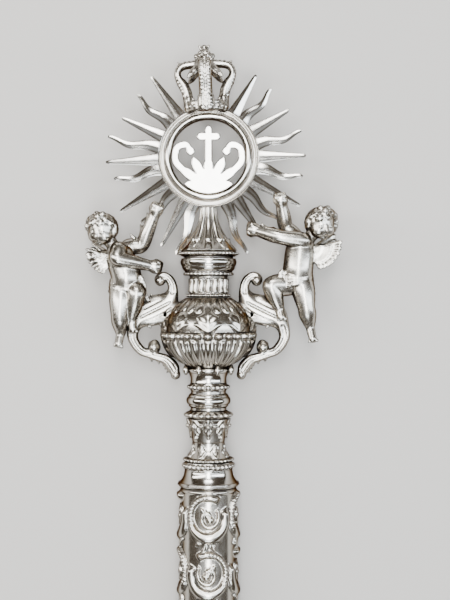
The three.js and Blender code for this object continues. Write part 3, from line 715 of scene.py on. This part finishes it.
def emblem():
    clay = Clay((-26.6, RING_CENTRE - 26.6, -2.6), (26.6, RING_CENTRE + 24, 2.6), 0.4)
    upright = 1.4

    def stroke(points, steps):
        """A smooth stroke through (x, y, width) points given from the middle of the ring."""
        line = smooth_line(points, steps)
        path = [(x, y + RING_CENTRE, 0.0) for x, y, _ in line]
        clay.trail(path, line[:, 2] / 2, 0.3, upright)

    for index in range(-3, 4):
        s, c = math.sin(index * LOBE_STEP), math.cos(index * LOBE_STEP)
        reach = LOBE_REACHES[abs(index)]
        lobe = [(share * reach, width) for share, width in LOBE_SHAPE]
        stroke([(along * s, PALMETTE_ROOT + along * c, width) for along, width in lobe], 12)
    for side in (-1, 1):
        stroke([mirrored(point, side) for point in CURL], 24)
        clay.ball((side * 12.6, 4.2 + RING_CENTRE, 0), 3.0, blend=0.4)
        stroke([(side * 4, -25, 9), (side * 9, -24, 8)], 3)
    stroke([(0, -27, 14), (0, PALMETTE_ROOT, 10)], 3)
    stroke([(0, -8, CROSS_WIDTH), (0, CROSS_TOP - CROSS_WIDTH / 2, CROSS_WIDTH)], 3)
    reach = CROSS_REACH - CROSS_WIDTH / 2
    stroke([(-reach, CROSS_ARMS, CROSS_WIDTH), (reach, CROSS_ARMS, CROSS_WIDTH)], 3)
    x, y, z = clay.everywhere()
    slab = np.abs(z) - EMBLEM_DEPTH / 2
    rim = np.sqrt(x * x + (y - RING_CENTRE) ** 2) - (RING_INNER - GAP)
    clay.field[...] = np.maximum(clay.field, np.maximum(slab, rim))
    staff_object("pierced_emblem", POLISHED, *clay.surface())


sunburst()
emblem()


# Crown of four arches

CROWN_FOOT = RING_CENTRE + RING_OUTER - 1.2
CROWN_TOP = 44.6  # above the crown's foot
CROWN_RIBS = 4


def around_crown(radius, height, sideways, angle):
    """A point of the crown from its distance to the axis, its height, and its place beside a rib."""
    c, s = math.cos(angle), math.sin(angle)
    return (radius * c + sideways * s, CROWN_FOOT + height, -radius * s + sideways * c)


# A rib from the band upwards: (distance to the crown's axis, height, width)
CROWN_RIB = [
    (11.2, -3, 4.4), (12, 1, 6.6), (12.2, 5.5, 7.6), (13.4, 12, 8), (15.4, 16.6, 7), (18, 20.6, 4.8),
    (19.2, 24.4, 3.9), (17.8, 28, 4), (14.4, 30, 4.4), (9, 30.6, 4.6), (3, 30.8, 5),
]
CROWN_RIB_HALF_BREADTH = 4.3


def crown_rib(clay, angle):
    """A broad knobbly strap that springs up, bows out and arches over to the middle."""
    line = smooth_line(CROWN_RIB, 40)
    for edge in (-1, 0, 1):
        points, radii = [], []
        for r, h, width in line:
            radius = min(width / 2, 3.2) - 0.4 * abs(edge)
            flare = 1.2 * (h < 7)
            points.append(around_crown(r, h, edge * (CROWN_RIB_HALF_BREADTH + flare - radius), angle))
            radii.append(radius)
        clay.trail(points, radii, 0.8)
    for i in range(2, len(line) - 3):
        ahead = heading(line, i)
        out = np.array([ahead[1], -ahead[0]])
        radius, height = line[i][:2] + (min(line[i][2] / 2, 3.2) - 0.9) * out
        rows = (-2.4, 2.4) if i % 2 == 0 else (0,)
        for sideways in rows:
            clay.ball(around_crown(radius, height, sideways, angle), 1.5, blend=0.4)
    start, tip = (16.4, 29.6), (18.8, 32.6)
    clay.limb(around_crown(*start, 0, angle), around_crown(*tip, 0, angle), 1.8, 0.7, 0.6)


def crown_leaf(clay, angle):
    """A leaf that droops outwards between two ribs, and a low one on the band."""
    leaf = [(4.4, 29.6, 2.6), (8.2, 27.6, 2.5), (11.6, 24.8, 2.2), (14.6, 22.0, 1.7), (16.6, 20.4, 0.9)]
    for sideways in (-1.5, 0, 1.5):
        bend = abs(sideways)
        points = [around_crown(r - 0.5 * bend, h, sideways * w / 2.4, angle) for r, h, w in leaf]
        clay.trail(points, [w * (1 - 0.16 * bend) for *_, w in leaf], 0.4)
    clay.limb(around_crown(12.6, 2.0, 0, angle), around_crown(13.0, 5.4, 0, angle), 2.0, 1.0, 0.6)


def crown_finial(clay):
    """A bud of leaves where the arches meet, and a stalk with two short arms and a flared top."""
    centre = CROWN_FOOT + 30.6
    clay.ball((0, centre, 0), 6.6, (1, 0.8, 1), blend=0.8)
    clay.limb((0, centre, 0), (0, centre + 7.5, 0), 5.2, 3.0, 1.0)
    knobs = 34
    for i in range(knobs):
        rise = 9.5 * i / (knobs - 1) - 1.5
        reach = 7.4 - 0.5 * rise
        turn = i * GOLDEN_ANGLE
        knob = (reach * math.cos(turn), centre + rise, reach * math.sin(turn))
        clay.limb(knob, (knob[0] * 0.9, knob[1] + 1.6, knob[2] * 0.9), 1.4, 1.1, 0.4)
    top = CROWN_FOOT + CROWN_TOP
    clay.limb((0, centre + 6, 0), (0, top - 2.6, 0), 2.8, 2.4, 0.6)
    for side in (-1, 1):
        clay.limb((side * 2.0, centre + 4.0, 0), (side * 5.4, centre + 6.0, 0), 2.2, 2.0, 0.5)
        clay.limb((side * 1.0, top - 4.6, 0), (side * 3.2, top - 1.0, 0), 1.6, 0.9, 0.5)
        clay.ball((side * 1.6, top - 7.4, 1.4), 1.2, blend=0.3)
    clay.ball((0, top - 1.9, 0), 1.9, blend=0.5)
    clay.ball((0, centre + 5.0, 3.2), 1.7, blend=0.4)


def crown():
    clay = Clay((-25.5, CROWN_FOOT - 3.6, -25.5), (25.5, CROWN_FOOT + CROWN_TOP + 0.4, 25.5), 0.5)
    turns = np.linspace(0, 2 * math.pi, 60, endpoint=False)
    for turn in turns:
        clay.limb(around_crown(12.8, -1.6, 0, turn), around_crown(13.0, 1.8, 0, turn), 1.25, 1.25, 0.5)
        clay.ball(around_crown(13.3, 3.0, 0, turn), 1.15, blend=0.3)
    for turn in turns[::3]:
        clay.ball(around_crown(14.1, 0.2, 0, turn), 1.2, blend=0.2)
    for i in range(CROWN_RIBS):
        crown_rib(clay, i * 2 * math.pi / CROWN_RIBS)
        crown_leaf(clay, (i + 0.5) * 2 * math.pi / CROWN_RIBS)
    crown_finial(clay)
    points, faces = clay.surface()
    staff_object("crown", CAST, leaning(points), faces)


crown()


# Scroll brackets

BRACKET_HALF_DEPTH = 4.2
SCROLL_LINE = [
    (34, 129.4, 3), (35.6, 132.8, 4), (31.6, 135, 5), (26.6, 131.4, 5.8), (25, 124, 7),
    (29, 115.8, 14), (37, 111, 20.4), (45.6, 108, 17), (51.4, 100.6, 9.4), (53, 91.6, 7),
    (47.8, 83.2, 6.2), (41.4, 80.8, 5.4), (36.4, 83.6, 4.6), (37.2, 88, 3.8), (40.6, 87, 3),
]
BRACKET_ROOT = [(38, 110.4, 17), (30, 109.6, 18), (26, 108.8, 19)]
BRACKET_TAIL = [(47, 82.4, 5), (38.4, 79, 5.4), (30, 76.4, 6.4), (25, 71.2, 8), (23, 66, 5)]


def bracket_strap(clay, side, line, steps):
    """A round-edged strap through (x, y, width) points."""
    path = smooth_line(line, steps)
    for (ax, ay, aw), (bx, by, bw) in zip(path, path[1:]):
        depth = BRACKET_HALF_DEPTH / (0.5 * (aw + bw) / 2)
        clay.limb((side * ax, ay, 0), (side * bx, by, 0), aw / 2, bw / 2, 0.8, min(depth, 1.5))
    return path


def leaf_lobes(clay, side, path, first, last, every, outward, size):
    """Leaf lobes that stand off one edge of a scroll and lean along it."""
    for i in range(first, last, every):
        x, y, width = path[i]
        ahead = heading(path, i)
        out = outward * np.array([-ahead[1], ahead[0]])
        root = np.array([x, y]) + out * width * 0.25
        tip = np.array([x, y]) + out * (width * 0.5 + size) + ahead * size * 0.9
        start, end = (side * root[0], root[1], 0.6), (side * tip[0], tip[1], 0.2)
        clay.limb(start, end, 1.9 * size / 2, 0.45 * size, 0.6, 1.25)


def face_channel(clay, side, path, first, last):
    """A shallow hollow along the middle of a scroll's face, between its two edges."""
    points, radii = [], []
    for x, y, width in path[first:last]:
        radius = 0.29 * min(width, 8.0)
        points.append((side * x, y, BRACKET_HALF_DEPTH + 0.5 * radius))
        radii.append(radius)
    clay.trail(points, radii, 0.4, cut=True)


# Each vein of the bracket's leaf as three points of its line
LEAF_VEINS = [
    ((27, 116), (35, 112), (47, 106)),
    ((26, 112), (32, 108), (42, 103.5)),
    ((33, 118), (39, 115), (45, 112)),
    ((25, 105), (30, 103), (36, 102)),
]


def bracket(side, node):
    clay = mirrored_clay(side, (18.0, 60, -6.6), (59.0, 141, 6.6), 0.5)
    scroll = bracket_strap(clay, side, SCROLL_LINE, 90)
    bracket_strap(clay, side, BRACKET_ROOT, 8)
    tail = bracket_strap(clay, side, BRACKET_TAIL, 24)
    leaf_lobes(clay, side, scroll, 28, 44, 4, 1, 1.6)
    leaf_lobes(clay, side, scroll, 34, 50, 4, -1, 1.5)
    leaf_lobes(clay, side, tail, 5, 20, 3, 1, 1.5)
    _, _, z = clay.everywhere()
    clay.field[...] = np.maximum(clay.field, np.abs(z) - BRACKET_HALF_DEPTH)
    for path, first, last in ((scroll, 6, 27), (scroll, 52, 84), (tail, 4, 23)):
        face_channel(clay, side, path, first, last)
    for x, y, radius in ((33.8, 131.6, 3.9), (38, 84.8, 4.4), (23, 65.6, 3.4)):
        clay.ball((side * x, y, 0), radius, (1, 1, 1.35), blend=0.5)
    for vein in LEAF_VEINS:
        path = [(side * x, y, BRACKET_HALF_DEPTH + 0.3) for x, y in smooth_line(vein, 10)]
        clay.trail(path, [1.0] * len(path), 0.4, cut=True)
    clay.ball((side * 30.2, 107.8, 0), 1.1, (1, 1.8, 9), blend=0.4, cut=True)
    staff_object(node, CAST, *clay.surface())


bracket(-1, "bracket_left")
bracket(1, "bracket_right")


# Cherubs. The points of both figures are given as on the viewer's right, and mirrored for the left one.
# A spine runs from the pelvis over the belly and the chest to the head. The folds are points of loose
# cloth that stand off an arm, each from its root to its tip.

HEAD_RADIUS = 10.6
FACING = (0.34, -0.36, 0.87)


def on_ray(side, index, distance, z):
    """A point of a ray as it leans, given as on the viewer's right."""
    angle = ray_angle(side, index) + GLORY_LEAN
    return (side * distance * math.cos(angle), RING_CENTRE + distance * math.sin(angle), z)


RIGHT_FIGURE = {
    "side": 1,
    "spine": [(61.5, 131, 2), (62.6, 141, 3.8), (64, 152.5, 2.8), (78, 171.4, 6)],
    "wing_root": (71, 152.6),
    "wing_reach": (22.5, 15),
    "legs": [
        [(65, 130.5, 4.6), (68, 112.5, 7.4), (70.6, 100.5, 3.4), (72.4, 91, 6.4)],
        [(57.5, 129, 1), (43.6, 128, 7), (49.2, 112.5, 5), (50.6, 106, 7)],
    ],
    "arms": [
        [(66, 159, 8.8), (49.5, 161.4, 11), (31, 166.8, 6)],
        [(62, 161, -4), (54, 169.5, -3), (50.4, 187.4, 3.6)],
    ],
    "folds": [((40, 165, 9), (37, 170.6, 9)), ((47, 163, 10), (45, 168, 9))],
}
LEFT_FIGURE = {
    "side": -1,
    "spine": [(57.5, 127, 2), (57, 134, 4.5), (61.5, 147.5, 3.5), (73.6, 167.4, 6)],
    "wing_root": (67, 148.6),
    "wing_reach": (18.5, 14),
    "legs": [
        [(60.5, 125, 4.6), (61.5, 107.5, 8), (61, 95.5, 3.4), (62.4, 87.5, 6.4)],
        [(53.5, 126, 2), (49.6, 122.5, 10.6), (53.4, 105, 6.4), (52.4, 97.5, 7.4)],
    ],
    "arms": [
        [(62, 153, 9.4), (62.5, 146.4, 14.4), (37, 141, 7)],
        [(57, 155, -4), (46.6, 156.4, -2), on_ray(-1, 7, 52, 4)],
    ],
    "folds": [
        ((49, 157, -2), (54.7, 164, -1)),
        ((45, 164, 0), (47.5, 170.5, 0)),
        ((41, 170, 2), (42.6, 178.4, 2)),
        ((38.4, 174, 3), (37.6, 182, 3)),
    ],
}


def between(a, b, t):
    return tuple(p + (q - p) * t for p, q in zip(a, b))


def along_and_across(start, end):
    """The direction from one point to another, and the one square to it as seen from the front."""
    along = np.array(end) - np.array(start)
    along = along / np.linalg.norm(along)
    across = np.cross(along, [0, 0, 1.0])
    return along, across / np.linalg.norm(across)


class Head:
    """Places given from the middle of a head, in head radii, with z along the face."""

    def __init__(self, figure):
        self.side = figure["side"]
        self.middle = mirrored(figure["spine"][-1], self.side)
        ahead = Vector(mirrored(FACING, self.side)).normalized()
        self.turn = Vector((0, 0, 1)).rotation_difference(ahead)

    def at(self, x, y, z):
        point = Vector((x, y, z)) * HEAD_RADIUS
        point.rotate(self.turn)
        return tuple(m + p for m, p in zip(self.middle, point))


def cherub_face(clay, head):
    def form(place, radius, scale, blend, cut=False):
        clay.ball(head.at(*place), radius, scale, head.turn, blend, cut)

    form((0, 0.06, -0.06), 10.2, (0.94, 1, 1), 1.0)
    form((0, -0.3, 0.3), 7.6, (0.95, 0.9, 0.9), 2.5)
    for x in (-1, 1):
        form((0.4 * x, -0.34, 0.58), 3.7, (1, 1, 0.9), 2.4)
        form((0.92 * x, -0.1, 0.02), 2.5, (0.5, 1.1, 0.8), 0.5)
        form((0.34 * x, 0.03, 1.06), 1.9, (1.2, 0.7, 0.8), 1.6, cut=True)
        form((0.34 * x, 0.02, 0.8), 1.5, (1.2, 0.7, 1), 0.5)
    clay.limb(head.at(0, 0.1, 0.88), head.at(0, -0.18, 1.02), 0.8, 1.2, 1.0)
    form((0, -0.46, 0.9), 1.5, (1.3, 0.6, 0.7), 0.6)
    form((0, -0.46, 1.03), 0.7, (2.2, 0.3, 0.7), 0.3, cut=True)
    form((0, -0.76, 0.66), 2.4, (1.1, 0.9, 1), 1.6)


def cherub_hair(clay, head):
    """Locks that curl close to the skull all over but the face, and a tuft on the outer side."""
    locks = 90
    steps = 6
    for i in range(locks):
        y = 1 - 2 * (i + 0.5) / locks
        ring = math.sqrt(1 - y * y)
        turn = i * GOLDEN_ANGLE
        out = Vector((ring * math.cos(turn), y, ring * math.sin(turn)))
        if out.y < -0.5 or (out.z > 0.05 and out.y < 0.42) or (out.z > 0.45 and out.y < 0.66):
            continue
        outer = max(0.0, out.x * head.side)
        along = out.cross(Vector((math.cos(2.1 * i), 0.4, math.sin(2.1 * i)))).normalized()
        across = out.cross(along)
        centre = out * (0.9 + 0.2 * outer)
        path = []
        for k in range(steps):
            turn = 4.6 * k / (steps - 1)
            reach = (0.22 + 0.06 * outer) * (1 - 0.12 * k)
            path.append(head.at(*(centre + (along * math.cos(turn) + across * math.sin(turn)) * reach)))
        clay.trail(path, np.linspace(1.35, 1.0, steps), 0.5)
        clay.ball(head.at(*(centre * 0.93)), 2.7, blend=0.8)
    for x, y, z, size in ((0.0, 0.98, 0.5, 2.4), (0.26, 1.1, 0.28, 2.1), (-0.2, 1.08, 0.2, 2.1)):
        clay.ball(head.at(x, y, z), size, blend=0.4)


def cherub_wing(clay, figure, lean):
    """Three rows of round-ended feathers that overlap in a scalloped fan."""
    feathers = 8
    side = figure["side"]
    x, y = figure["wing_root"]
    root = np.array([side * x, y, lean * 4.0])
    longest, shortest = figure["wing_reach"]
    first = 14 if lean > 0 else 32
    for row, (share, rise) in enumerate(((1.0, 0.0), (0.68, 0.8), (0.4, 1.5))):
        for i in range(feathers):
            slope = math.radians(first - 10.7 * (i + 0.5 * (row == 1)))
            along = Vector((math.cos(slope) * side, math.sin(slope), 0.3 * lean)).normalized()
            reach = share * (longest + (shortest - longest) * i / (feathers - 1))
            turn = Vector((1, 0, 0)).rotation_difference(along)
            lift = np.array([0, 0, lean * rise])
            tip = root + np.array(along) * (reach - 1.6 * share) + lift
            middle = root + np.array(along) * reach * 0.55 + lift
            clay.ball(middle, 1.0, (reach * 0.47, 2.3, 0.9), turn, 0.3)
            clay.ball(tip, 1.6 * share + 0.4, (1.3, 1, 0.5), turn, 0.2)
    clay.limb(root, root + np.array([7.0 * side, 2.5, lean * 1.5]), 3.0, 1.8, 1.0)


def cherub_hand(clay, elbow, hand):
    """A closed fist with four knuckles and a thumb along its side."""
    along, across = along_and_across(elbow, hand)
    rise = np.array([0, 0, 2.6])
    clay.ball(hand, 5.0, (1, 1, 0.9), blend=1.2)
    for i in range(4):
        knuckle = hand + across * (i - 1.5) * 2.1 + along * 2.2 + rise
        clay.limb(knuckle, knuckle + along * 2.2 - rise, 1.35, 1.2, 0.35)
    clay.limb(hand - across * 4.2, hand - across * 3.8 + along * 3.2, 1.5, 1.2, 0.6)


def flesh(clay, points, radii, blend=1.2):
    """A limb whose thickness swells and thins smoothly along its bones."""
    line = smooth_line([(*point, radius) for point, radius in zip(points, radii)], 8 * len(points))
    clay.trail(line[:, :3], line[:, 3], blend)


def cherub_arm(clay, side, points):
    shoulder, elbow, hand = (mirrored(point, side) for point in points)
    upper, lower = between(shoulder, elbow, 0.5), between(elbow, hand, 0.35)
    flesh(clay, [shoulder, upper, elbow, lower, hand], (5.3, 5.1, 4.3, 4.5, 3.0))
    cherub_hand(clay, elbow, hand)


def cherub_leg(clay, side, points):
    hip, knee, ankle, toe = (mirrored(point, side) for point in points)
    thigh, calf = between(hip, knee, 0.45), between(knee, ankle, 0.4)
    flesh(clay, [hip, thigh, knee, calf, ankle], (7.4, 7.4, 5.4, 5.4, 3.2))
    clay.limb(ankle, toe, 3.2, 2.8, 0.8, 0.9)
    clay.ball(between(ankle, toe, -0.25), 2.8, blend=0.8)
    along, across = along_and_across(ankle, toe)
    for i in range(4):
        clay.ball(toe + across * (i - 1.5) * 1.7 + along * 1.6, 1.3 - 0.08 * i, blend=0.4)


def cherub_sash(clay, figure):
    """A twisted cloth round the hips, with folds, and a loose end that falls inwards."""
    side = figure["side"]
    hip_x, hip_y, hip_z = figure["spine"][0]
    for strand in range(4):
        points = []
        for i in range(25):
            turn = 2 * math.pi * i / 24
            y = hip_y + 2.5 - 2.2 * strand + 2.0 * math.sin(turn + 0.6)
            y += 0.7 * math.sin(3 * turn + strand)
            x = hip_x + (10.4 + 0.3 * strand) * math.cos(turn)
            points.append((side * x, y, hip_z + 10.2 * math.sin(turn)))
        clay.trail(points, [1.4] * len(points), 0.35)
    for strand, sway in enumerate((-2.2, 0.0, 2.2)):
        fall = [(-6.5, 3 + sway, 6), (-11, 3.5 + 1.2 * sway, 7), (-13.5, -3 + sway, 6)]
        fall.append((-14.5 + sway, -10, 4))
        line = smooth_line([(hip_x + x, hip_y + y, hip_z + z) for x, y, z in fall], 12)
        path = [(side * x, y + 0.6 * math.sin(1.7 * n + strand), z) for n, (x, y, z) in enumerate(line)]
        clay.trail(path, np.linspace(1.5, 1.0, 12), 0.5, 0.8)


def cherub(figure, node):
    side = figure["side"]
    clay = mirrored_clay(side, (26.0, 82, -14), (97.0, 200, 23), 0.58)
    pelvis, belly, chest, skull = (mirrored(point, side) for point in figure["spine"])
    flesh(clay, [pelvis, belly, chest], (9.6, 9.7, 9.6), 1.5)
    clay.ball(between(belly, pelvis, 0.2), 9.0, (0.8, 0.8, 1.12), blend=2.5)
    clay.limb(chest, between(chest, skull, 0.8), 4.8, 4.4, 2.0)
    for z in (-4.4, 4.4):
        clay.ball((pelvis[0] + side * 4, pelvis[1] - 3.5, pelvis[2] + z), 5.6, blend=1.6)
    for arm in figure["arms"]:
        cherub_arm(clay, side, arm)
    for leg in figure["legs"]:
        cherub_leg(clay, side, leg)
    for lean in (1, -1):
        cherub_wing(clay, figure, lean)
    cherub_sash(clay, figure)
    for root, tip in figure["folds"]:
        clay.limb(mirrored(root, side), mirrored(tip, side), 3.0, 0.8, 0.8)
    head = Head(figure)
    cherub_face(clay, head)
    cherub_hair(clay, head)
    staff_object(node, CAST, *clay.surface())


cherub(LEFT_FIGURE, "cherub_left")
cherub(RIGHT_FIGURE, "cherub_right")


# Floor, light and camera

PHOTO_WIDTH, PHOTO_HEIGHT = 450, 600
PHOTO_SCALE = 0.7  # millimetres of the staff to one of the photo's pixels
PHOTO_AXIS_X, PHOTO_RING_Y = 208.5, 157.0
LENS = 70.0
SENSOR = 36.0
FLOOR_SIZE = 6.0  # metres
FLOOR_COLOUR = (0.74, 0.73, 0.71, 1.0)
SKY = [(0.72, (0.1, 0.075, 0.05, 1.0)), (0.985, (0.95, 0.98, 1.0, 1.0))]  # height, colour
SKY_STRENGTH = 0.6
# Each lamp: name, place in metres from what it points at, width, length, power and colour
LAMPS = [
    ("front", (0, 0, 1.3), 0.3, 1.3, 15.0, (1.0, 0.99, 0.97)),
    ("left", (-0.95, 0.2, 0.95), 0.32, 1.7, 14.0, (1.0, 0.97, 0.93)),
    ("right", (0.95, 0, 0.95), 0.28, 1.7, 10.0, (0.88, 0.94, 1.0)),
    ("above", (0, 1.05, 1.0), 0.6, 0.4, 8.0, (1.0, 0.98, 0.95)),
    ("below", (0, -1.05, 1.0), 0.6, 0.35, 5.0, (0.93, 0.97, 1.0)),
]


def floor():
    bpy.ops.mesh.primitive_plane_add(size=FLOOR_SIZE, location=(0, 0, 0))
    plane = bpy.context.object
    plane.name = "floor"
    material = bpy.data.materials.new("floor")
    material.use_nodes = True
    tree = material.node_tree
    fill_inputs(tree, tree.nodes["Principled BSDF"], {"Base Color": FLOOR_COLOUR, "Roughness": 0.85})
    plane.data.materials.append(material)


def lights(middle):
    """Rectangular lamps whose lengths run along the staff."""
    for name, offset, width, length, power, colour in LAMPS:
        light = bpy.data.lights.new(name, "AREA")
        light.shape = "RECTANGLE"
        light.size, light.size_y = width, length
        light.energy = power
        light.color = colour
        lamp = bpy.data.objects.new(name, light)
        lamp.location = [m + o for m, o in zip(middle, offset)]
        lamp.rotation_euler = (Vector(middle) - lamp.location).to_track_quat("-Z", "Y").to_euler()
        bpy.context.scene.collection.objects.link(lamp)


def studio_world():
    """Bright straight above and a dim warm brown all round."""
    world = bpy.data.worlds.new("studio")
    world.use_nodes = True
    tree = world.node_tree
    place = tree.nodes.new("ShaderNodeTexCoord")
    split = tree.nodes.new("ShaderNodeSeparateXYZ")
    ramp = tree.nodes.new("ShaderNodeValToRGB")
    for element, (height, colour) in zip(ramp.color_ramp.elements, SKY):
        element.position = height
        element.color = colour
    fill_inputs(tree, split, {0: place.outputs["Generated"]})
    fill_inputs(tree, ramp, {"Fac": split.outputs["Z"]})
    glow = {"Color": ramp.outputs["Color"], "Strength": SKY_STRENGTH}
    fill_inputs(tree, tree.nodes["Background"], glow)
    bpy.context.scene.world = world


def camera():
    """Straight above the point of the staff that the middle of the photo shows."""
    x = (PHOTO_WIDTH / 2 - PHOTO_AXIS_X) * PHOTO_SCALE
    y = RING_CENTRE + (PHOTO_RING_Y - PHOTO_HEIGHT / 2) * PHOTO_SCALE
    distance = PHOTO_HEIGHT * PHOTO_SCALE * LENS / SENSOR
    data = bpy.data.cameras.new("camera")
    data.lens = LENS
    data.sensor_width = SENSOR
    data.clip_end = 20.0
    eye = bpy.data.objects.new("camera", data)
    middle = np.array([x, y, 0.0]) * MM + ORIGIN
    eye.location = middle + np.array([0, 0, distance * MM])
    bpy.context.scene.collection.objects.link(eye)
    bpy.context.scene.camera = eye
    return middle


floor()
studio_world()
lights(camera())
